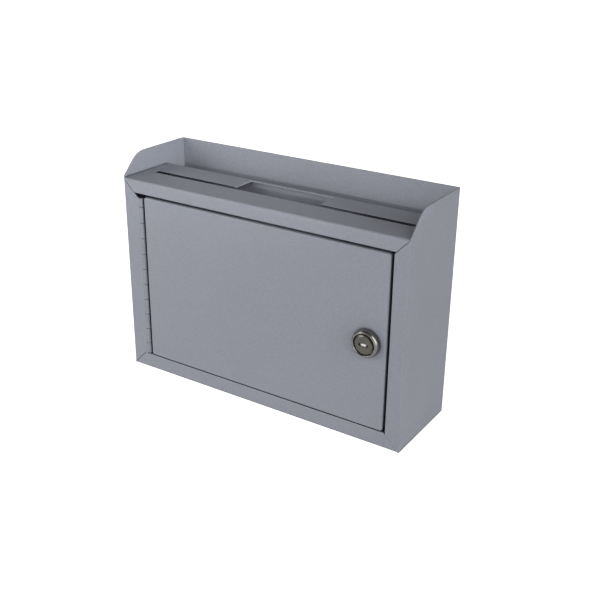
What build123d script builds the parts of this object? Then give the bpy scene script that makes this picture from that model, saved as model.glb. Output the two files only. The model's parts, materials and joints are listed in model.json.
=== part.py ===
from build123d import *
import math
import os

# Steel drop box for donations, keys and envelopes: a folded sheet body with a locked front
# compartment, a slotted deck, an open pocket behind it, and a hinged door with a cam lock.
# Millimetres. The origin is the centre of the underside, +X is to the right as seen from the
# front, +Y runs to the back panel and +Z is up.

# ---- driving dimensions: body -------------------------------------------------------------------
WIDTH = 247.65
DEPTH = 73.0
BACK_HEIGHT = 177.0
DECK_HEIGHT = 160.0
SHEET = 0.9
BEND = 1.7
FIT = 0.05

EAR_FRONT_HEIGHT = 160.3
EAR_RADIUS = 20.0

LEFT_FLANGE = 15.5
RIGHT_FLANGE = 11.8
TOP_FLANGE = 10.2
BOTTOM_LIP = 12.6
JAMB_RETURN = 16.0
JAMB_FOLD = 0.8

DIVIDER_REAR = 53.0
POCKET_DEPTH = 76.0
WELD_TAB = 8.0
CORNER_RELIEF = 3.0
MITRE_CUT = 1.98

SLOT_LENGTH = 226.65
SLOT_WIDTH = 4.8
SLOT_FRONT = 24.7
WINDOW_WIDTH = 74.8
WINDOW_REAR = 49.5
WINDOW_OFFSET = -0.4
CUT_CORNER = 1.0

WALL_HOLE_RADIUS = 2.75
WALL_HOLE_SPAN_X = 177.8
WALL_HOLE_SPAN_Z = 44.5
WALL_HOLE_MID_Z = 42.0

# ---- driving dimensions: door and piano hinge ---------------------------------------------------
DOOR_LEFT = 19.9
DOOR_RIGHT = 233.6
DOOR_BOTTOM = 12.9
DOOR_TOP = 147.4
DOOR_RETURN = 12.7
DOOR_FOLD = 1.2
DOOR_CORNER = 2.0

HINGE_FROM_LEFT = 15.5
HINGE_BOTTOM = 13.1
FIRST_JOINT = 15.9
KNUCKLE_COUNT = 21
KNUCKLE_PITCH = 6.48
GAP_UNDER_DOOR_KNUCKLE = 0.1
GAP_OVER_DOOR_KNUCKLE = 0.4
KNUCKLE_RADIUS = 2.4
COPE_GAP = 0.1
LEAF = 1.0
LEAF_WIDTH = 10.0
PIN_RADIUS = 1.2
PIN_HEAD_RADIUS = 1.75
PIN_HEAD = 0.3
RUNNING = 0.05

# ---- driving dimensions: cam lock, depths measured back from the door's face --------------------
LOCK_FROM_LEFT = 218.6
LOCK_HEIGHT = 79.3
HEAD_RADIUS = 10.5
HEAD_RIM = 2.2
HEAD_PROUD = 5.05
RING_INNER = 7.9
GROOVE_FLOOR = 2.6
BARREL_RADIUS = 9.5
BARREL_FLATS = 16.0
BARREL_END = 15.8
THREAD_PITCH = 1.0
PLUG_RADIUS = 6.5
PLUG_HEAD_RADIUS = 7.1
PLUG_FACE = 5.25
PLUG_SHOULDER = 15.9
TAIL_RADIUS = 4.0
TAIL_FLATS = 6.4
TAIL_FLAT_END = 18.8
TAIL_THREAD = 3.0
TAIL_END = 24.5

KEYWAY_WIDTH = 7.4
KEYWAY_HEIGHT = 2.0
KEYWAY_END = 13.0
KEY_PLAY = 0.6
SHUTTER_CHAMBER_HEIGHT = 3.1
SHUTTER_CHAMBER_FRONT = 4.95
SHUTTER_CHAMBER_DEPTH = 3.15
TRUNNION_PROUD = 4.3
TRUNNION_ABOVE = 1.4
TRUNNION_RADIUS = 0.4
TRUNNION_LENGTH = 0.6
FLAP_THICKNESS = 0.5
FLAP_HEIGHT = 2.3
WAFER_COUNT = 5
WAFER_PITCH = 2.5
WAFER_FIRST = 1.5
WAFER_THICKNESS = 1.0
WAFER_LENGTH = 12.0
WAFER_HEIGHT = 4.6
WAFER_LUG_WIDTH = 1.0
WAFER_LUG_HEIGHT = 1.3
WAFER_LUG_OFFSET = 1.3
SPRING_POCKET_WIDTH = 5.4
SPRING_POCKET_HEIGHT = 1.5
SPRING_POCKET_OFFSET = -0.8
SPRING_COIL_PITCH = 0.75
SPRING_LENGTH = 3.75
SPRING_RADIUS = 0.38
SPRING_WIRE = 0.1

CAM_FRONT = 16.9
CAM_THICKNESS = 1.9
CAM_REACH = 25.0
CAM_WIDTH = 13.0
CAM_HUB_RADIUS = 9.0
STOP_SWEEP = 90.0
STOP_LUG = 60.0
STOP_RIM = 1.0
STOP_WASHER = 0.9

SPRING_WASHER_RADIUS = 5.2
SPRING_WASHER = 1.2
CAM_NUT_ACROSS = 10.0
CAM_NUT = 3.4
TOOTHED_WASHER_RADIUS = 12.5
TOOTHED_WASHER = 0.7
TOOTH_COUNT = 18
MOUNTING_NUT_ACROSS = 23.0
MOUNTING_NUT = 3.2

# ---- places worked out from the driving dimensions ----------------------------------------------
LEFT = -WIDTH / 2
RIGHT = WIDTH / 2
FRONT = -DEPTH / 2
BACK = DEPTH / 2
INNER_HALF = WIDTH / 2 - SHEET - FIT
DIVIDER_FRONT = FRONT + DIVIDER_REAR - SHEET
POCKET_FLOOR = DECK_HEIGHT - POCKET_DEPTH

FRONT_PLANE = Plane(origin=(0, FRONT, 0), x_dir=(1, 0, 0), z_dir=(0, -1, 0))
BACK_PLANE = Plane(origin=(0, BACK, 0), x_dir=(-1, 0, 0), z_dir=(0, 1, 0))

HINGE_X = LEFT + HINGE_FROM_LEFT
HINGE_Y = FRONT + KNUCKLE_RADIUS
HINGE_TOP = FIRST_JOINT + (KNUCKLE_COUNT - 1) * KNUCKLE_PITCH

LOCK_ORIGIN = (LEFT + LOCK_FROM_LEFT, FRONT, LOCK_HEIGHT)
LOCK_PLANE = Plane(origin=LOCK_ORIGIN, x_dir=(1, 0, 0), z_dir=(0, -1, 0))
LOCK_SECTION = Plane(origin=LOCK_ORIGIN, x_dir=(1, 0, 0), z_dir=(0, 0, -1))
LOCK_AXIS = Axis(LOCK_ORIGIN, (0, -1, 0))
TRUNNION_SECTION = Plane.YZ.offset(LOCK_ORIGIN[0])
TRUNNION = (FRONT - TRUNNION_PROUD, LOCK_HEIGHT + TRUNNION_ABOVE)

# The front frame's four corners: direction inward in X and in Z, the width of the mitre seam, and
# how far in the mitre runs before the side flange's end turns level.
FRAME_CORNERS = [
    (1, -1, 0.45, 13.2),
    (-1, -1, 0.4, 13.2),
    (1, 1, 0.45, 12.4),
    (-1, 1, 0.12, 12.4),
]


def corner_points(inward_x, inward_z, offsets):
    """Points on the front plane, from distances inward from one of the frame's outer corners."""
    corner_x = LEFT if inward_x > 0 else RIGHT
    corner_z = 0 if inward_z > 0 else DECK_HEIGHT
    return [(corner_x + inward_x * a, corner_z + inward_z * b) for a, b in offsets]


def side_flange_waste(inward_x, inward_z, seam, reach):
    """Corners of the waste past the mitre on one of the shell's side flanges."""
    gap = seam * math.sqrt(0.5)
    far = JAMB_RETURN
    waste = [(SHEET, SHEET + gap), (reach, reach + gap), (far, reach + gap), (far, -BACK), (SHEET, -BACK)]
    return corner_points(inward_x, inward_z, waste)


def level_flange_waste(inward_x, inward_z, seam):
    """Corners of the waste past the mitre on the hood's front flange or the pan's lip."""
    gap = seam * math.sqrt(0.5)
    far = WIDTH / 4
    waste = [(gap - BEND, -BEND), (far + gap, far), (-far, far), (-far, -BEND)]
    return corner_points(inward_x, inward_z, waste)


def lock_plane(depth):
    """Plane across the lock's axis at a depth behind the door's face; its normal points out."""
    return LOCK_PLANE.offset(-depth)


def joint_height(index):
    """Height of the joint under a knuckle; the strip is cut through its bottom knuckle."""
    return max(HINGE_BOTTOM, FIRST_JOINT + (index - 1) * KNUCKLE_PITCH)


BODY_KNUCKLES = range(0, KNUCKLE_COUNT, 2)
DOOR_KNUCKLES = range(1, KNUCKLE_COUNT, 2)

# ---- shell: one sheet folded into flange, side, back, side, flange ------------------------------
with BuildPart() as shell:
    with BuildSketch() as wrap_section:
        RectangleRounded(WIDTH, DEPTH, BEND)
        RectangleRounded(WIDTH - 2 * SHEET, DEPTH - 2 * SHEET, BEND - SHEET, mode=Mode.SUBTRACT)
        opening_width = WIDTH - LEFT_FLANGE - RIGHT_FLANGE
        with Locations((LEFT + LEFT_FLANGE + opening_width / 2, FRONT + SHEET / 2)):
            Rectangle(opening_width, 2 * SHEET, mode=Mode.SUBTRACT)
        with Locations((RIGHT - RIGHT_FLANGE + SHEET / 2, FRONT + JAMB_RETURN / 2)):
            Rectangle(SHEET, JAMB_RETURN)
        jamb_corner = wrap_section.vertices().sort_by_distance((RIGHT - RIGHT_FLANGE, FRONT, 0))[0]
        fillet(jamb_corner, radius=JAMB_FOLD)
    extrude(amount=BACK_HEIGHT)

    # The sides step down from the back's height to the deck's in a rounded, sloping ear.
    ear_corner = FRONT + BACK_HEIGHT - EAR_FRONT_HEIGHT
    with BuildSketch(Plane.YZ) as above_ears:
        with BuildLine():
            ear_edge = FilletPolyline(
                (FRONT - DEPTH, EAR_FRONT_HEIGHT - DEPTH),
                (ear_corner, BACK_HEIGHT),
                (BACK + DEPTH, BACK_HEIGHT),
                radius=EAR_RADIUS,
            )
            Polyline(
                ear_edge @ 1,
                (BACK + DEPTH, 2 * BACK_HEIGHT),
                (FRONT - DEPTH, 2 * BACK_HEIGHT),
                ear_edge @ 0,
            )
        make_face()
    extrude(amount=WIDTH, both=True, mode=Mode.SUBTRACT)

    # The flanges' ends are mitred to meet the deck's front flange and the bottom lip.
    for corner in FRAME_CORNERS:
        with BuildSketch(FRONT_PLANE.offset(SHEET)):
            Polygon(*side_flange_waste(*corner), align=None)
        extrude(amount=-(JAMB_RETURN + 2 * SHEET), mode=Mode.SUBTRACT)

    # The left flange's edge is coped round the hinge's knuckles, so the two read as one surface.
    with Locations((HINGE_X, HINGE_Y, DECK_HEIGHT / 2)):
        Cylinder(KNUCKLE_RADIUS + COPE_GAP, DECK_HEIGHT, mode=Mode.SUBTRACT)

    # Four screw holes for hanging the box, reached from inside the locked compartment.
    with Locations(BACK_PLANE):
        with Locations((0, WALL_HOLE_MID_Z)):
            with GridLocations(WALL_HOLE_SPAN_X, WALL_HOLE_SPAN_Z, 2, 2):
                Hole(radius=WALL_HOLE_RADIUS, depth=2 * SHEET)

# ---- bottom pan: floor, front lip and three upturned weld tabs ----------------------------------
with BuildPart() as bottom_pan:
    with BuildSketch(Plane.YZ) as pan_section:
        with BuildLine():
            FilletPolyline(
                (FRONT + SHEET / 2, BOTTOM_LIP),
                (FRONT + SHEET / 2, SHEET / 2),
                (BACK - SHEET - FIT - SHEET / 2, SHEET / 2),
                (BACK - SHEET - FIT - SHEET / 2, WELD_TAB),
                radius=BEND - SHEET / 2,
            )
        trace(line_width=SHEET)
    extrude(amount=INNER_HALF, both=True)
    for inward_x, inward_z, seam, _ in FRAME_CORNERS[2:]:
        with BuildSketch(FRONT_PLANE.offset(SHEET)):
            Polygon(*level_flange_waste(inward_x, inward_z, seam), align=None)
        extrude(amount=-MITRE_CUT, mode=Mode.SUBTRACT)
    for side in (-1, 1):
        with Locations((side * (INNER_HALF - SHEET / 2), 0, WELD_TAB / 2)):
            Box(SHEET, DEPTH - 2 * WELD_TAB, WELD_TAB)
        with Locations((side * INNER_HALF, BACK - SHEET, WELD_TAB / 2)):
            Box(CORNER_RELIEF, CORNER_RELIEF, 2 * WELD_TAB, mode=Mode.SUBTRACT)

# ---- hood: front flange, slotted deck, divider wall and pocket floor in one sheet ---------------
with BuildPart() as hood:
    with BuildSketch(Plane.YZ) as hood_section:
        with BuildLine():
            FilletPolyline(
                (FRONT + SHEET / 2, DECK_HEIGHT - TOP_FLANGE),
                (FRONT + SHEET / 2, DECK_HEIGHT - SHEET / 2),
                (DIVIDER_FRONT + SHEET / 2, DECK_HEIGHT - SHEET / 2),
                (DIVIDER_FRONT + SHEET / 2, POCKET_FLOOR - SHEET / 2),
                (BACK - SHEET - FIT - SHEET / 2, POCKET_FLOOR - SHEET / 2),
                (BACK - SHEET - FIT - SHEET / 2, POCKET_FLOOR + WELD_TAB),
                radius=BEND - SHEET / 2,
            )
        trace(line_width=SHEET)
    extrude(amount=INNER_HALF, both=True)
    for inward_x, inward_z, seam, _ in FRAME_CORNERS[:2]:
        with BuildSketch(FRONT_PLANE.offset(SHEET)):
            Polygon(*level_flange_waste(inward_x, inward_z, seam), align=None)
        extrude(amount=-MITRE_CUT, mode=Mode.SUBTRACT)

    # The long envelope slot, widened in the middle by a deep deposit window.
    with BuildSketch(Plane.XY.offset(DECK_HEIGHT)) as deposit_opening:
        with Locations((0, FRONT + SLOT_FRONT + SLOT_WIDTH / 2)):
            Rectangle(SLOT_LENGTH, SLOT_WIDTH)
        with Locations((WINDOW_OFFSET, FRONT + (SLOT_FRONT + WINDOW_REAR) / 2)):
            Rectangle(WINDOW_WIDTH, WINDOW_REAR - SLOT_FRONT)
        fillet(deposit_opening.vertices(), radius=CUT_CORNER)
    extrude(amount=-1.5 * SHEET, mode=Mode.SUBTRACT)

    # Weld tabs turned down from the deck's ends and forward from the divider's ends.
    deck_tab_length = DIVIDER_REAR - 2 * WELD_TAB
    divider_tab_height = POCKET_DEPTH - 3 * WELD_TAB
    for side in (-1, 1):
        tab_x = side * (INNER_HALF - SHEET / 2)
        with Locations((tab_x, FRONT + DIVIDER_REAR / 2, DECK_HEIGHT - WELD_TAB / 2)):
            Box(SHEET, deck_tab_length, WELD_TAB)
        with Locations((tab_x, DIVIDER_FRONT - WELD_TAB / 2 + SHEET, DECK_HEIGHT - POCKET_DEPTH / 2)):
            Box(SHEET, WELD_TAB, divider_tab_height)
        with Locations((side * INNER_HALF, BACK - SHEET, POCKET_FLOOR)):
            Box(CORNER_RELIEF, CORNER_RELIEF, 3 * WELD_TAB, mode=Mode.SUBTRACT)

# ---- door: a shallow pan with its returns folded back and a hole for the lock -------------------
with BuildPart() as door:
    with BuildSketch(FRONT_PLANE) as door_outline:
        with Locations((LEFT + (DOOR_LEFT + DOOR_RIGHT) / 2, (DOOR_BOTTOM + DOOR_TOP) / 2)):
            RectangleRounded(DOOR_RIGHT - DOOR_LEFT, DOOR_TOP - DOOR_BOTTOM, DOOR_CORNER)
    extrude(amount=-DOOR_RETURN)
    fillet(door.faces().sort_by(Axis.Y)[0].edges(), radius=DOOR_FOLD)
    offset(amount=-SHEET, openings=door.faces().sort_by(Axis.Y)[-1])
    with BuildSketch(LOCK_PLANE) as lock_hole:
        Circle(BARREL_RADIUS + 2 * RUNNING)
        Rectangle(2 * HEAD_RADIUS, BARREL_FLATS + 4 * RUNNING, mode=Mode.INTERSECT)
    extrude(amount=-2 * SHEET, mode=Mode.SUBTRACT)

# ---- piano hinge: a leaf behind the left flange, a leaf on the door's return, and the pin -------
with BuildPart() as hinge_body_leaf:
    leaf_edge = HINGE_X - KNUCKLE_RADIUS - 3 * RUNNING
    leaf_y = FRONT + SHEET + LEAF / 2
    with Locations((leaf_edge - LEAF_WIDTH / 2, leaf_y, (HINGE_BOTTOM + HINGE_TOP) / 2)):
        Box(LEAF_WIDTH, LEAF, HINGE_TOP - HINGE_BOTTOM)
    for index in BODY_KNUCKLES:
        with BuildSketch(Plane.XY.offset(joint_height(index))):
            with Locations((HINGE_X, HINGE_Y)):
                Circle(KNUCKLE_RADIUS)
            with Locations(((leaf_edge + HINGE_X) / 2 - LEAF, leaf_y)):
                Rectangle(HINGE_X - leaf_edge, LEAF)
        extrude(amount=joint_height(index + 1) - joint_height(index))
    with Locations((HINGE_X, HINGE_Y, (HINGE_BOTTOM + HINGE_TOP) / 2)):
        Cylinder(PIN_RADIUS + RUNNING, HINGE_TOP - HINGE_BOTTOM, mode=Mode.SUBTRACT)

with BuildPart() as hinge_door_leaf:
    plate_x = LEFT + DOOR_LEFT - LEAF / 2
    tab_y = HINGE_Y + KNUCKLE_RADIUS - LEAF / 2
    with Locations((plate_x, tab_y - LEAF / 2 + LEAF_WIDTH / 2 - LEAF, (HINGE_BOTTOM + HINGE_TOP) / 2)):
        Box(LEAF, LEAF_WIDTH - 2 * LEAF, HINGE_TOP - HINGE_BOTTOM)
    for index in DOOR_KNUCKLES:
        with BuildSketch(Plane.XY.offset(joint_height(index) + GAP_UNDER_DOOR_KNUCKLE)):
            with Locations((HINGE_X, HINGE_Y)):
                Circle(KNUCKLE_RADIUS)
            with Locations(((HINGE_X + plate_x) / 2, tab_y)):
                Rectangle(plate_x - HINGE_X, LEAF)
        extrude(amount=KNUCKLE_PITCH - GAP_UNDER_DOOR_KNUCKLE - GAP_OVER_DOOR_KNUCKLE)
    with Locations((HINGE_X, HINGE_Y, (HINGE_BOTTOM + HINGE_TOP) / 2)):
        Cylinder(PIN_RADIUS + RUNNING, HINGE_TOP - HINGE_BOTTOM, mode=Mode.SUBTRACT)

with BuildPart() as hinge_pin:
    pin_bottom = HINGE_BOTTOM - RUNNING
    pin_top = HINGE_TOP + RUNNING
    with BuildSketch(Plane.XY.offset(pin_bottom)):
        with Locations((HINGE_X, HINGE_Y)):
            Circle(PIN_RADIUS)
    extrude(amount=pin_top - pin_bottom)
    for head_bottom in (pin_bottom - PIN_HEAD, pin_top):
        with BuildSketch(Plane.XY.offset(head_bottom)):
            with Locations((HINGE_X, HINGE_Y)):
                Circle(PIN_HEAD_RADIUS)
        extrude(amount=PIN_HEAD)

# ---- lock housing: domed head, threaded barrel with flats, and a stop rim at its inner end ------
with BuildPart() as lock_housing:
    with BuildSketch(LOCK_SECTION) as housing_section:
        with BuildLine():
            Polyline(
                (RING_INNER, GROOVE_FLOOR),
                (PLUG_RADIUS + RUNNING, GROOVE_FLOOR),
                (PLUG_RADIUS + RUNNING, -BARREL_END),
                (BARREL_RADIUS, -BARREL_END),
                (BARREL_RADIUS, 0),
                (HEAD_RADIUS, 0),
                (HEAD_RADIUS, HEAD_RIM),
            )
            ThreePointArc((HEAD_RADIUS, HEAD_RIM), (10.05, 3.75), (9.15, 4.7))
            ThreePointArc((9.15, 4.7), (8.8, HEAD_PROUD), (8.4, 4.95))
            Polyline((8.4, 4.95), (RING_INNER, 4.2), (RING_INNER, GROOVE_FLOOR))
        make_face()
    revolve(axis=LOCK_AXIS)

    # Thread rings along the barrel, then the two flats that stop it turning in the door.
    thread_count = int((BARREL_END - 2) / THREAD_PITCH)
    with BuildSketch(LOCK_SECTION) as thread_grooves:
        for turn in range(thread_count):
            root = -(1.5 + turn * THREAD_PITCH)
            half = THREAD_PITCH * 0.42
            Polygon(
                (BARREL_RADIUS + RUNNING, root + half),
                (BARREL_RADIUS - THREAD_PITCH / 2, root),
                (BARREL_RADIUS + RUNNING, root - half),
                align=None,
            )
    revolve(axis=LOCK_AXIS, mode=Mode.SUBTRACT)
    for side in (-1, 1):
        with BuildSketch(LOCK_PLANE) as flat_cut:
            with Locations((0, side * (BARREL_FLATS / 2 + HEAD_RADIUS / 2))):
                Rectangle(2 * HEAD_RADIUS, HEAD_RADIUS)
        extrude(amount=-BARREL_END, mode=Mode.SUBTRACT)

    # Channels beside the bore that the wafers spring into when the key is out.
    channel_length = WAFER_FIRST + WAFER_COUNT * WAFER_PITCH
    with BuildSketch(LOCK_PLANE) as wafer_channels:
        Rectangle(2 * (PLUG_RADIUS + 1.6), WAFER_HEIGHT + 0.4)
    extrude(amount=-channel_length, mode=Mode.SUBTRACT)

    # Rim sector behind the barrel: the stop washer's lug travels between its two ends.
    rim_start = STOP_LUG / 2 - 90 + STOP_SWEEP + 1
    rim_sweep = 360 - STOP_LUG - STOP_SWEEP - 2
    rim_inner = CAM_HUB_RADIUS - 0.6
    with BuildSketch(lock_plane(BARREL_END + STOP_RIM)) as stop_rim:
        with BuildLine():
            outer = CenterArc((0, 0), BARREL_RADIUS, rim_start, rim_sweep)
            inner = CenterArc((0, 0), rim_inner, rim_start, rim_sweep)
            Line(outer @ 0, inner @ 0)
            Line(outer @ 1, inner @ 1)
        make_face()
        Rectangle(3 * HEAD_RADIUS, BARREL_FLATS, mode=Mode.INTERSECT)
    extrude(amount=STOP_RIM)

# ---- lock plug: keyed cylinder with a flat-sided, threaded tail ---------------------------------
with BuildPart() as lock_plug:
    with BuildSketch(LOCK_SECTION) as plug_section:
        Polygon(
            (0, PLUG_FACE),
            (PLUG_HEAD_RADIUS - 0.7, PLUG_FACE),
            (PLUG_HEAD_RADIUS, PLUG_FACE - 0.5),
            (PLUG_HEAD_RADIUS, GROOVE_FLOOR + 2 * RUNNING),
            (PLUG_RADIUS, GROOVE_FLOOR + 2 * RUNNING),
            (PLUG_RADIUS, -PLUG_SHOULDER),
            (TAIL_RADIUS, -PLUG_SHOULDER),
            (TAIL_RADIUS, -TAIL_FLAT_END),
            (TAIL_THREAD, -TAIL_FLAT_END),
            (TAIL_THREAD, -TAIL_END + 0.5),
            (TAIL_THREAD - 0.5, -TAIL_END),
            (0, -TAIL_END),
            align=None,
        )
    revolve(axis=LOCK_AXIS)
    for side in (-1, 1):
        with BuildSketch(lock_plane(PLUG_SHOULDER)):
            with Locations((side * (TAIL_FLATS / 2 + TAIL_RADIUS / 2), 0)):
                Rectangle(TAIL_RADIUS, 3 * TAIL_RADIUS)
        extrude(amount=-(TAIL_FLAT_END - PLUG_SHOULDER), mode=Mode.SUBTRACT)

    # Keyway through the face, a wider chamber for the dust shutter, and the key's passage.
    with BuildSketch(lock_plane(-PLUG_FACE)):
        RectangleRounded(KEYWAY_WIDTH, KEYWAY_HEIGHT, 0.4)
    extrude(amount=-(PLUG_FACE + KEYWAY_END), mode=Mode.SUBTRACT)
    with BuildSketch(lock_plane(-SHUTTER_CHAMBER_FRONT)):
        with Locations((0, TRUNNION_RADIUS)):
            Rectangle(KEYWAY_WIDTH + TRUNNION_RADIUS, SHUTTER_CHAMBER_HEIGHT)
    extrude(amount=-SHUTTER_CHAMBER_DEPTH, mode=Mode.SUBTRACT)
    with BuildSketch(TRUNNION_SECTION):
        with Locations(TRUNNION):
            Circle(TRUNNION_RADIUS + RUNNING)
    extrude(amount=KEYWAY_WIDTH / 2 + TRUNNION_LENGTH + 2 * RUNNING, both=True, mode=Mode.SUBTRACT)

    # Wafer slots across the plug, each with a side pocket for the wafer's lug and spring.
    for index in range(WAFER_COUNT):
        slot_front = WAFER_FIRST + index * WAFER_PITCH - RUNNING
        with BuildSketch(lock_plane(slot_front)):
            Rectangle(3 * PLUG_RADIUS, WAFER_HEIGHT + 2 * RUNNING)
            with Locations((SPRING_POCKET_OFFSET, WAFER_HEIGHT / 2)):
                Rectangle(SPRING_POCKET_WIDTH, 2 * SPRING_POCKET_HEIGHT)
        extrude(amount=-(WAFER_THICKNESS + 2 * RUNNING), mode=Mode.SUBTRACT)

# ---- wafers: five sliding plates with a key window and a spring lug -----------------------------
with BuildPart() as lock_wafers:
    for index in range(WAFER_COUNT):
        with BuildSketch(lock_plane(WAFER_FIRST + index * WAFER_PITCH)):
            Rectangle(WAFER_LENGTH, WAFER_HEIGHT)
            with Locations((WAFER_LUG_OFFSET, WAFER_HEIGHT / 2)):
                Rectangle(WAFER_LUG_WIDTH, 2 * WAFER_LUG_HEIGHT)
            Rectangle(KEYWAY_WIDTH + KEY_PLAY, KEYWAY_HEIGHT + KEY_PLAY, mode=Mode.SUBTRACT)
        extrude(amount=-WAFER_THICKNESS)

# ---- wafer springs: one small coil beside each wafer's lug --------------------------------------
with BuildPart() as wafer_springs:
    for index in range(WAFER_COUNT):
        spring_depth = WAFER_FIRST + index * WAFER_PITCH + WAFER_THICKNESS / 2
        spring_left = SPRING_POCKET_OFFSET + SPRING_RADIUS - SPRING_POCKET_WIDTH / 2
        spring_above = (WAFER_HEIGHT + SPRING_POCKET_HEIGHT) / 2
        coil_start = (LOCK_ORIGIN[0] + spring_left, FRONT + spring_depth, LOCK_HEIGHT + spring_above)
        with BuildLine() as coil_path:
            Helix(SPRING_COIL_PITCH, SPRING_LENGTH, SPRING_RADIUS, center=coil_start, direction=(1, 0, 0))
        with BuildSketch(Plane(origin=coil_path.line @ 0, z_dir=coil_path.line % 0)):
            Circle(SPRING_WIRE)
        sweep(is_frenet=True)

# ---- keyway shutter: a sprung flap on two trunnions behind the keyway's mouth -------------------
with BuildPart() as keyway_shutter:
    with BuildSketch(TRUNNION_SECTION) as flap_section:
        with Locations(TRUNNION):
            Circle(TRUNNION_RADIUS)
            with Locations((-3 * RUNNING, -FLAP_HEIGHT / 2)):
                Rectangle(FLAP_THICKNESS, FLAP_HEIGHT)
    extrude(amount=KEYWAY_WIDTH / 2 + 2 * RUNNING, both=True)
    with BuildSketch(TRUNNION_SECTION):
        with Locations(TRUNNION):
            Circle(TRUNNION_RADIUS)
    extrude(amount=KEYWAY_WIDTH / 2 + TRUNNION_LENGTH, both=True)

# ---- stop washer: keyed to the tail, its lug limits the plug to a quarter turn ------------------
with BuildPart() as stop_washer:
    with BuildSketch(lock_plane(PLUG_SHOULDER)) as washer_outline:
        Circle(CAM_HUB_RADIUS - 0.8)
        with BuildLine():
            lug = CenterArc((0, 0), BARREL_RADIUS - 0.1, 270 - STOP_LUG / 2, STOP_LUG)
            Line((0, 0), lug @ 0)
            Line((0, 0), lug @ 1)
        make_face()
        with BuildSketch(mode=Mode.PRIVATE) as tail_hole:
            Circle(TAIL_RADIUS + RUNNING)
            Rectangle(TAIL_FLATS + 2 * RUNNING, 3 * TAIL_RADIUS, mode=Mode.INTERSECT)
        add(tail_hole.sketch, mode=Mode.SUBTRACT)
    extrude(amount=-STOP_WASHER)

# ---- cam: flat latch arm on the plug's tail, hanging down when unlocked -------------------------
with BuildPart() as lock_cam:
    with BuildSketch(lock_plane(CAM_FRONT)) as cam_outline:
        Circle(CAM_HUB_RADIUS)
        with Locations((0, -CAM_REACH / 2)):
            Rectangle(CAM_WIDTH, CAM_REACH)
        tip_corners = cam_outline.vertices().group_by(Axis.Z)[0]
        fillet(tip_corners, radius=CAM_WIDTH / 4)
        with BuildSketch(mode=Mode.PRIVATE) as cam_hole:
            Circle(TAIL_RADIUS + RUNNING)
            Rectangle(TAIL_FLATS + 2 * RUNNING, 3 * TAIL_RADIUS, mode=Mode.INTERSECT)
        add(cam_hole.sketch, mode=Mode.SUBTRACT)
    extrude(amount=-CAM_THICKNESS)

# ---- fasteners on the plug's tail ---------------------------------------------------------------
SPRING_WASHER_FRONT = CAM_FRONT + CAM_THICKNESS + RUNNING
with BuildPart() as cam_spring_washer:
    with BuildSketch(lock_plane(SPRING_WASHER_FRONT)):
        Circle(SPRING_WASHER_RADIUS)
        Circle(TAIL_THREAD + 2 * RUNNING, mode=Mode.SUBTRACT)
        with Locations((TAIL_RADIUS, 0)):
            Rectangle(TAIL_RADIUS, SPRING_WASHER / 2, rotation=20, mode=Mode.SUBTRACT)
    extrude(amount=-SPRING_WASHER)

with BuildPart() as cam_nut:
    with BuildSketch(lock_plane(SPRING_WASHER_FRONT + SPRING_WASHER + RUNNING)):
        RegularPolygon(radius=CAM_NUT_ACROSS / 2, side_count=6, major_radius=False)
        Circle(TAIL_THREAD + RUNNING, mode=Mode.SUBTRACT)
    extrude(amount=-CAM_NUT)
    chamfer(cam_nut.faces().sort_by(Axis.Y)[-1].edges().filter_by(GeomType.LINE), length=0.35)

# ---- fasteners that clamp the housing to the door -----------------------------------------------
with BuildPart() as toothed_washer:
    with BuildSketch(lock_plane(SHEET + RUNNING)):
        Circle(TOOTHED_WASHER_RADIUS)
        Circle(BARREL_RADIUS + 2 * RUNNING, mode=Mode.SUBTRACT)
        with PolarLocations(TOOTHED_WASHER_RADIUS, TOOTH_COUNT):
            Rectangle(2.4, 1.3, mode=Mode.SUBTRACT)
    extrude(amount=-TOOTHED_WASHER)

with BuildPart() as mounting_nut:
    with BuildSketch(lock_plane(SHEET + TOOTHED_WASHER + 2 * RUNNING)):
        RegularPolygon(radius=MOUNTING_NUT_ACROSS / 2, side_count=6, major_radius=False)
        Circle(BARREL_RADIUS + RUNNING, mode=Mode.SUBTRACT)
    extrude(amount=-MOUNTING_NUT)
    chamfer(mounting_nut.faces().sort_by(Axis.Y)[-1].edges().filter_by(GeomType.LINE), length=0.6)

# ---- one file per piece -------------------------------------------------------------------------
PIECES = {
    "shell": shell,
    "bottom_pan": bottom_pan,
    "hood": hood,
    "door": door,
    "hinge_body_leaf": hinge_body_leaf,
    "hinge_door_leaf": hinge_door_leaf,
    "hinge_pin": hinge_pin,
    "lock_housing": lock_housing,
    "lock_plug": lock_plug,
    "lock_wafers": lock_wafers,
    "wafer_springs": wafer_springs,
    "keyway_shutter": keyway_shutter,
    "stop_washer": stop_washer,
    "lock_cam": lock_cam,
    "cam_spring_washer": cam_spring_washer,
    "cam_nut": cam_nut,
    "toothed_washer": toothed_washer,
    "mounting_nut": mounting_nut,
}

os.makedirs("parts", exist_ok=True)
for piece_name, piece in PIECES.items():
    piece.part.label = piece_name
    export_step(piece.part, f"parts/{piece_name}.step")
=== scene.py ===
import json
import math

import bpy
from mathutils import Matrix, Vector


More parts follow.
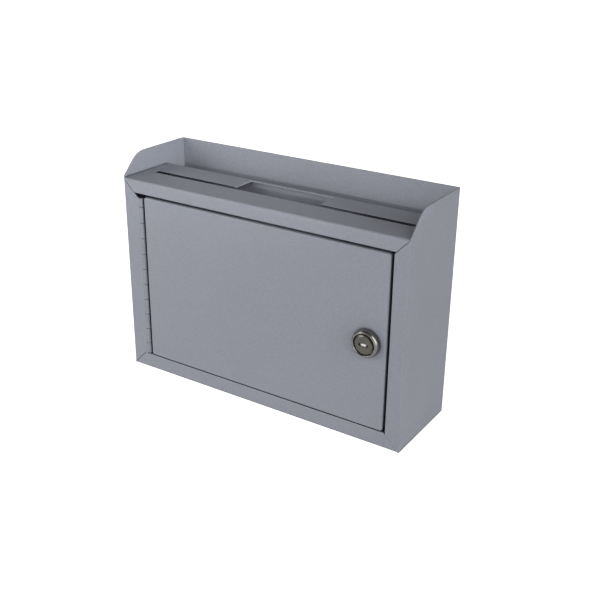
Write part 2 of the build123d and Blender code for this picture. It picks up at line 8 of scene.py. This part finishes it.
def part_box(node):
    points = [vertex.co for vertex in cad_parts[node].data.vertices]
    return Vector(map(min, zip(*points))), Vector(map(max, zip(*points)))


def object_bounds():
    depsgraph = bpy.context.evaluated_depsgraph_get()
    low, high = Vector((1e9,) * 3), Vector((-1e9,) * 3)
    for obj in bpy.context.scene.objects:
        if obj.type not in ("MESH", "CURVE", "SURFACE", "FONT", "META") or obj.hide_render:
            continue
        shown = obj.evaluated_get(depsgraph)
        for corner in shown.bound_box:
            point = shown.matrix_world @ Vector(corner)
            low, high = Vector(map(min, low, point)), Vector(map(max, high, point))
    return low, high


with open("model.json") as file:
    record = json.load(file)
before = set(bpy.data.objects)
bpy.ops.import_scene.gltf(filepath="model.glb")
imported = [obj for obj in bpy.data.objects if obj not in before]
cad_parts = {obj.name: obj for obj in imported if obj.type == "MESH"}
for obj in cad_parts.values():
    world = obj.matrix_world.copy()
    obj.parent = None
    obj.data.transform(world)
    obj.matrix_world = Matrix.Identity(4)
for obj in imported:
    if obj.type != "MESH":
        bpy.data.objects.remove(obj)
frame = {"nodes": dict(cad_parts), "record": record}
cad_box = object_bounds()

MM = 0.001

# ---- driving values: colours are linear, noise scales are per metre -----------------------------

WHITE = (1.0, 1.0, 1.0)
SHADE_BLACK = (0.004, 0.004, 0.005)
# Painted shade for narrow gaps and recesses in bare metal.
CREVICE_SHADE = (0.01, 0.01, 0.01)

# Powder coat.
COAT_DARK = (0.230, 0.243, 0.285)
COAT_LIGHT = (0.242, 0.254, 0.296)
COAT_FLECK = (0.330, 0.343, 0.385)
# Painted highlight: a lighter colour on folds and edges, as if they catch more light.
COAT_FOLD_HIGHLIGHT = (0.40, 0.41, 0.45)
FLECK_AMOUNT = 0.55
FOLD_HIGHLIGHT_AMOUNT = 0.35
FOLD_RADIUS = 0.7 * MM
GRAIN_SCALE = 1400
FLECK_SCALE = 1500
PEEL_SCALE = 420
CLOUD_SCALE = 16
COAT_ROUGHNESS = 0.44
COAT_ROUGHNESS_SPREAD = 0.12
PEEL_STRENGTH = 0.22
PEEL_DEPTH = 0.10 * MM
GRAIN_STRENGTH = 0.30
GRAIN_DEPTH = 0.05 * MM
COAT_SPECULAR = 0.42
GAP_REACH = 3 * MM
INTERIOR_REACH = 60 * MM
SLOT_SHADE = 0.95
SLOT_END_MARGIN = 5 * MM
SLOT_SIDE_MARGIN = 0.3 * MM
SLOT_RIM = 0.15 * MM

# Bare metal.
METAL_GRAIN_SCALE = 900
METAL_CLOUD_SCALE = 90
METAL_ROUGHNESS_SPREAD = 0.14
METAL_EDGE_RADIUS = 0.3 * MM
METAL_EDGE_AMOUNT = 0.4
METAL_EDGE_GAIN = 1.25
METAL_GRAIN_DEPTH = 0.02 * MM
METAL_GAP_REACH = 1.2 * MM

# Keyway shutter: a painted highlight within the first distance from its middle, painted shade past the
# second.
SHUTTER_GLINT = (0.95, 0.95, 0.93)
SHUTTER_SHADE = (0.035, 0.034, 0.03)
GLINT_TO = 1.6 * MM
SHADE_FROM = 2.7 * MM
GLINT_UNEVENNESS = 0.5 * MM
GLINT_NOISE_SCALE = 2500
SHUTTER_GRAIN_SCALE = 3000
SHUTTER_ROUGHNESS = 0.42
SHUTTER_ROUGHNESS_SPREAD = 0.12
SHUTTER_GRAIN_STRENGTH = 0.2

# Name: azimuth and elevation from the object, distance and diameter in metres, watts.
LAMPS = {
    "front": (0, 30, 1.9, 0.9, 1.5),
    "left_front": (-42, 20, 1.25, 0.8, 7.2),
    "right_low": (75, 6, 3.5, 2.6, 46.0),
    "right_high": (62, 35, 3.5, 2.3, 38.0),
    "left_rear": (-135, 28, 1.6, 0.9, 1.1),
}

# Sky brightness at the horizon, high up, and as the camera sees it.
HORIZON_LEVEL = 0.12
ZENITH_LEVEL = 0.08
ZENITH_FROM = 0.6
BACKDROP_LEVEL = 1.0

# Floor: half its width, glow as the camera sees it, glow and albedo for the light it sends back.
FLOOR_HALF = 12.0
FLOOR_GLOW = 1.0
FLOOR_SOFT_GLOW = 0.30
FLOOR_ALBEDO = 0.95
FLOOR_ROUGHNESS = 0.8
PAPER_DARK = (0.86, 0.86, 0.87)
PAPER_LIGHT = (0.88, 0.88, 0.885)
PAPER_NOISE_SCALE = 3

CAMERA_LENS = 56.34
SENSOR_WIDTH = 36.0
CAMERA_AZIMUTH = 33.11
CAMERA_ELEVATION = 23.49
CAMERA_DISTANCE = 655.9 * MM
CAMERA_ROLL = 0.567
CAMERA_AIM_X = 35.5 * MM
CAMERA_AIM_Z = 100.3 * MM

low, high = (Vector(corner) for corner in cad_box)
front_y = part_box("door")[0].y

# ---- helper for building node materials ---------------------------------------------------------


class NodeMaterial:
    """A node material with short calls for the nodes used here."""

    def __init__(self, name):
        self.material = bpy.data.materials.new(name)
        self.material.use_nodes = True
        self.tree = self.material.node_tree
        self.shader = self.tree.nodes["Principled BSDF"]
        self.coords = self.tree.nodes.new("ShaderNodeTexCoord").outputs["Object"]

    def link(self, source, target):
        self.tree.links.new(source, target)

    def axes(self):
        """The object's own X, Y and Z, in metres."""
        node = self.tree.nodes.new("ShaderNodeSeparateXYZ")
        self.link(self.coords, node.inputs["Vector"])
        return node.outputs

    def noise(self, scale, detail=2.0, roughness=0.5):
        node = self.tree.nodes.new("ShaderNodeTexNoise")
        node.inputs["Scale"].default_value = scale
        node.inputs["Detail"].default_value = detail
        node.inputs["Roughness"].default_value = roughness
        self.link(self.coords, node.inputs["Vector"])
        return node.outputs["Fac"]

    def math(self, operation, a, b=None, clamp=False):
        node = self.tree.nodes.new("ShaderNodeMath")
        node.operation = operation
        node.use_clamp = clamp
        for socket, value in zip(node.inputs, (a, b)):
            if value is None:
                continue
            if isinstance(value, (int, float)):
                socket.default_value = value
            else:
                self.link(value, socket)
        return node.outputs["Value"]

    def times(self, a, b):
        return self.math("MULTIPLY", a, b)

    def plus(self, a, b):
        return self.math("ADD", a, b)

    def remap(self, value, from_low, from_high, to_low=0.0, to_high=1.0):
        node = self.tree.nodes.new("ShaderNodeMapRange")
        node.clamp = True
        self.link(value, node.inputs["Value"])
        node.inputs["From Min"].default_value = from_low
        node.inputs["From Max"].default_value = from_high
        node.inputs["To Min"].default_value = to_low
        node.inputs["To Max"].default_value = to_high
        return node.outputs["Result"]

    def mix(self, factor, a, b):
        """Colour a where factor is 0, colour b where it is 1."""
        node = self.tree.nodes.new("ShaderNodeMix")
        node.data_type = "RGBA"
        for key, value in (("Factor", factor), ("A", a), ("B", b)):
            socket = node.inputs[key]
            if isinstance(value, (int, float)):
                socket.default_value = value
            elif isinstance(value, tuple):
                socket.default_value = (*value, 1.0)
            else:
                self.link(value, socket)
        return node.outputs["Result"]

    def bump(self, height, strength, distance, normal=None):
        node = self.tree.nodes.new("ShaderNodeBump")
        node.inputs["Strength"].default_value = strength
        node.inputs["Distance"].default_value = distance
        self.link(height, node.inputs["Height"])
        if normal is not None:
            self.link(normal, node.inputs["Normal"])
        return node.outputs["Normal"]

    def openness(self, reach):
        """1 on open faces, falling towards 0 where other faces stand closer than reach."""
        node = self.tree.nodes.new("ShaderNodeAmbientOcclusion")
        node.samples = 8
        node.inputs["Distance"].default_value = reach
        return node.outputs["AO"]

    def edge_mask(self, radius):
        """0 on flat faces, rising towards 1 on edges and tight folds."""
        bevel = self.tree.nodes.new("ShaderNodeBevel")
        bevel.samples = 4
        bevel.inputs["Radius"].default_value = radius
        geometry = self.tree.nodes.new("ShaderNodeNewGeometry")
        dot = self.tree.nodes.new("ShaderNodeVectorMath")
        dot.operation = "DOT_PRODUCT"
        self.link(bevel.outputs["Normal"], dot.inputs[0])
        self.link(geometry.outputs["Normal"], dot.inputs[1])
        turned = self.math("SUBTRACT", 1.0, dot.outputs["Value"], clamp=True)
        return self.remap(turned, 0.05, 0.5)

    def set(self, **inputs):
        """Principled inputs by name, with underscores for spaces."""
        for key, value in inputs.items():
            socket = self.shader.inputs[key.replace("_", " ")]
            if isinstance(value, (int, float)):
                socket.default_value = value
            elif isinstance(value, tuple):
                socket.default_value = (*value, 1.0)
            else:
                self.link(value, socket)


# ---- materials ----------------------------------------------------------------------------------


def slot_edge_shade(m):
    """Close to 0 on the cut edges inside the envelope slot, 1 everywhere else."""
    openings = {opening["name"]: opening["box_m"] for opening in frame["record"]["physics"]["openings"]}
    slot_low, slot_high = openings["envelope_slot"]
    deck_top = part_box("hood")[1].z
    limits = (
        ("X", slot_low[0] - SLOT_END_MARGIN, slot_high[0] + SLOT_END_MARGIN),
        ("Y", slot_low[1] - SLOT_SIDE_MARGIN, slot_high[1] + SLOT_SIDE_MARGIN),
        ("Z", slot_low[2], deck_top - SLOT_RIM),
    )
    place = m.axes()
    inside = 1.0
    for axis, least, most in limits:
        inside = m.times(inside, m.math("GREATER_THAN", place[axis], least))
        inside = m.times(inside, m.math("LESS_THAN", place[axis], most))
    return m.math("SUBTRACT", 1.0, m.times(inside, SLOT_SHADE))


def powder_coat():
    """Satin grey powder coat: fine orange peel, a faint fleck, painted highlights on folds, painted
    shade in crevices and gaps.
    """
    m = NodeMaterial("grey_powder_coat")
    grain = m.noise(GRAIN_SCALE, detail=3, roughness=0.6)
    peel = m.noise(PEEL_SCALE, detail=1)
    cloud = m.remap(m.noise(CLOUD_SCALE), 0.3, 0.7)
    fleck = m.remap(m.noise(FLECK_SCALE), 0.35, 0.65)
    colour = m.mix(cloud, COAT_DARK, COAT_LIGHT)
    colour = m.mix(m.times(fleck, FLECK_AMOUNT), colour, COAT_FLECK)
    # Painted highlight on folds and edges.
    colour = m.mix(m.times(m.edge_mask(FOLD_RADIUS), FOLD_HIGHLIGHT_AMOUNT), colour, COAT_FOLD_HIGHLIGHT)
    # Painted shade: near black in narrow gaps, deep inside the box and on the cut edges in the envelope
    # slot.
    crevice_shade = m.remap(m.openness(GAP_REACH), 0.44, 0.74, 0.01, 1.0)
    interior_shade = m.remap(m.openness(INTERIOR_REACH), 0.02, 0.16, 0.05, 1.0)
    lit = m.times(m.times(crevice_shade, interior_shade), slot_edge_shade(m))
    colour = m.mix(lit, SHADE_BLACK, colour)
    rough = m.plus(m.times(grain, COAT_ROUGHNESS_SPREAD), COAT_ROUGHNESS)
    normal = m.bump(peel, PEEL_STRENGTH, PEEL_DEPTH)
    normal = m.bump(grain, GRAIN_STRENGTH, GRAIN_DEPTH, normal)
    m.set(Base_Color=colour, Roughness=rough, Normal=normal, Specular_IOR_Level=COAT_SPECULAR)
    return m.material


def bare_metal(name, colour, roughness, variation=0.12, strength=0.12):
    """Plated or bare metal with fine grain, cloudy plating, slightly uneven gloss and painted shade in
    narrow gaps.
    """
    m = NodeMaterial(name)
    dark = tuple(channel * (1 - variation) for channel in colour)
    bright = tuple(min(1.0, channel * METAL_EDGE_GAIN) for channel in colour)
    grain = m.noise(METAL_GRAIN_SCALE, detail=4, roughness=0.65)
    cloud = m.remap(m.noise(METAL_CLOUD_SCALE, detail=3), 0.3, 0.7)
    tint = m.mix(cloud, dark, colour)
    # Edges and tight folds lighter than the faces.
    tint = m.mix(m.times(m.edge_mask(METAL_EDGE_RADIUS), METAL_EDGE_AMOUNT), tint, bright)
    # Painted shade: darker in narrow gaps and recesses, such as the keyway and the groove round the
    # plug.
    crevice_shade = m.remap(m.openness(METAL_GAP_REACH), 0.2, 0.7, 0.03, 1.0)
    tint = m.mix(crevice_shade, CREVICE_SHADE, tint)
    rough = m.plus(m.times(grain, METAL_ROUGHNESS_SPREAD), roughness - METAL_ROUGHNESS_SPREAD / 2)
    normal = m.bump(grain, strength, METAL_GRAIN_DEPTH)
    m.set(Base_Color=tint, Metallic=1.0, Roughness=rough, Normal=normal)
    return m.material


def shutter_glint_and_shade():
    """Plate with a painted highlight in the middle of the keyway and painted shade around it."""
    m = NodeMaterial("bright_shutter")
    keyway_low, keyway_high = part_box("keyway_shutter")
    middle = (keyway_low.x + keyway_high.x) / 2
    aside = m.math("ABSOLUTE", m.math("SUBTRACT", m.axes()["X"], middle))
    aside = m.plus(aside, m.times(m.noise(GLINT_NOISE_SCALE), GLINT_UNEVENNESS))
    # Painted highlight near the middle of the keyway, painted shade further out.
    glint = m.remap(aside, GLINT_TO, SHADE_FROM, 1.0, 0.0)
    grain = m.noise(SHUTTER_GRAIN_SCALE, detail=3)
    tint = m.mix(glint, SHUTTER_SHADE, SHUTTER_GLINT)
    rough = m.plus(m.times(grain, SHUTTER_ROUGHNESS_SPREAD), SHUTTER_ROUGHNESS)
    normal = m.bump(grain, SHUTTER_GRAIN_STRENGTH, METAL_GRAIN_DEPTH)
    m.set(Base_Color=tint, Metallic=1.0, Roughness=rough, Normal=normal)
    return m.material


MATERIALS = {
    "grey_powder_coat": powder_coat(),
    "nickel_plate": bare_metal("nickel_plate", (0.28, 0.275, 0.26), 0.25),
    "nickel_plug": bare_metal("nickel_plug", (0.17, 0.162, 0.138), 0.30, variation=0.3, strength=0.3),
    "bright_shutter": shutter_glint_and_shade(),
    "plated_steel": bare_metal("plated_steel", (0.62, 0.62, 0.58), 0.30),
    "spring_steel": bare_metal("spring_steel", (0.36, 0.36, 0.36), 0.33),
    "brass_wafer": bare_metal("brass_wafer", (0.72, 0.53, 0.24), 0.30),
}

for subpart in frame["record"]["subparts"]:
    slots = frame["nodes"][subpart["node"]].data.materials
    slots.clear()
    slots.append(MATERIALS[subpart["material_slot"]])

# ---- stage: floor, sky, lamps and camera --------------------------------------------------------


def in_scene(name, data):
    """A new object in the scene that shows the given mesh, light or camera."""
    added = bpy.data.objects.new(name, data)
    bpy.context.scene.collection.objects.link(added)
    return added


def direction(azimuth, elevation):
    """Unit vector from the object; azimuth 0 is straight out of the door, positive to the right."""
    a = math.radians(azimuth)
    e = math.radians(elevation)
    return Vector((math.sin(a) * math.cos(e), -math.cos(a) * math.cos(e), math.sin(e)))


def look_at(target, azimuth, elevation, distance, roll=0.0):
    """Placement at a distance from target that looks back at it, upright, then rolled in degrees."""
    position = target + direction(azimuth, elevation) * distance
    turn = math.radians(roll)
    forward = (target - position).normalized()
    right = forward.cross(Vector((0, 0, 1))).normalized()
    up = right.cross(forward)
    rolled_right = right * math.cos(turn) + up * math.sin(turn)
    rolled_up = up * math.cos(turn) - right * math.sin(turn)
    rotation = Matrix((rolled_right, rolled_up, -forward)).transposed().to_4x4()
    return Matrix.Translation(position) @ rotation


def area_light(name, azimuth, elevation, distance, diameter, watts):
    """Round soft lamp aimed at the middle of the box."""
    light = bpy.data.lights.new(name, "AREA")
    light.shape = "DISK"
    light.size = diameter
    light.energy = watts
    middle = Vector((0, 0, high.z / 2))
    in_scene(name, light).matrix_world = look_at(middle, azimuth, elevation, distance)


def soft_spot(name, target, azimuth, elevation, distance, radius, watts, widen=1.0):
    """Narrow spot with a fully soft edge; widen stretches its pool of light sideways."""
    light = bpy.data.lights.new(name, "SPOT")
    light.energy = watts
    light.spot_size = 2 * math.atan(radius / distance)
    light.spot_blend = 1.0
    light.shadow_soft_size = 0.01
    stretch = Matrix.Diagonal((widen, 1.0, 1.0, 1.0))
    in_scene(name, light).matrix_world = look_at(target, azimuth, elevation, distance) @ stretch


def shelf_lights():
    """Two soft pools: on the inner face of the left ear, and on the back panel above the deck."""
    ear_middle = Vector((low.x, (front_y + high.y) / 2, high.z - 11 * MM))
    back_middle = Vector(((low.x + high.x) / 2, high.y, high.z - 8 * MM))
    soft_spot("ear_spot", ear_middle, 78, 11, 1.2, 0.075, 27.0)
    soft_spot("back_spot", back_middle, 0, 11, 1.5, 0.027, 28.0, widen=8.0)


def pale_floor():
    """Pure white to the camera, so no shadow shows on it; pale and softly glowing to the box."""
    side = FLOOR_HALF
    corners = [(-side, -side, low.z), (side, -side, low.z), (side, side, low.z), (-side, side, low.z)]
    mesh = bpy.data.meshes.new("floor")
    mesh.from_pydata(corners, [], [(0, 1, 2, 3)])
    floor = in_scene("floor", mesh)
    m = NodeMaterial("pale_floor")
    seen = m.tree.nodes.new("ShaderNodeLightPath").outputs["Is Camera Ray"]
    paper = m.mix(m.remap(m.noise(PAPER_NOISE_SCALE), 0.3, 0.7), PAPER_DARK, PAPER_LIGHT)
    tone = m.mix(seen, (FLOOR_ALBEDO, FLOOR_ALBEDO, FLOOR_ALBEDO), paper)
    glow = m.plus(m.times(seen, FLOOR_GLOW - FLOOR_SOFT_GLOW), FLOOR_SOFT_GLOW)
    m.set(Base_Color=tone, Roughness=FLOOR_ROUGHNESS, Emission_Color=WHITE, Emission_Strength=glow)
    floor.data.materials.append(m.material)


def soft_sky():
    """White to the camera; to everything else a dim sky, a little brighter at the horizon."""
    world = bpy.data.worlds.new("studio")
    world.use_nodes = True
    tree = world.node_tree
    background = tree.nodes["Background"]
    background.inputs["Color"].default_value = (*WHITE, 1.0)
    coords = tree.nodes.new("ShaderNodeTexCoord")
    split = tree.nodes.new("ShaderNodeSeparateXYZ")
    height = tree.nodes.new("ShaderNodeMapRange")
    height.inputs["From Max"].default_value = ZENITH_FROM
    height.inputs["To Min"].default_value = HORIZON_LEVEL
    height.inputs["To Max"].default_value = ZENITH_LEVEL
    seen = tree.nodes.new("ShaderNodeLightPath").outputs["Is Camera Ray"]
    level = tree.nodes.new("ShaderNodeMix")
    level.inputs["B"].default_value = BACKDROP_LEVEL
    tree.links.new(coords.outputs["Generated"], split.inputs["Vector"])
    tree.links.new(split.outputs["Z"], height.inputs["Value"])
    tree.links.new(seen, level.inputs["Factor"])
    tree.links.new(height.outputs["Result"], level.inputs["A"])
    tree.links.new(level.outputs["Result"], background.inputs["Strength"])
    bpy.context.scene.world = world


def front_right_camera():
    """Camera in front of the box, to its right and above it."""
    camera = bpy.data.cameras.new("camera")
    camera.sensor_width = SENSOR_WIDTH
    camera.lens = CAMERA_LENS
    aim = Vector((CAMERA_AIM_X, front_y, CAMERA_AIM_Z))
    placed = look_at(aim, CAMERA_AZIMUTH, CAMERA_ELEVATION, CAMERA_DISTANCE, CAMERA_ROLL)
    camera_object = in_scene("camera", camera)
    camera_object.matrix_world = placed
    bpy.context.scene.camera = camera_object


pale_floor()
soft_sky()
shelf_lights()
for lamp_name, placing in LAMPS.items():
    area_light(lamp_name, *placing)
front_right_camera()
bpy.context.scene.view_settings.view_transform = "Standard"
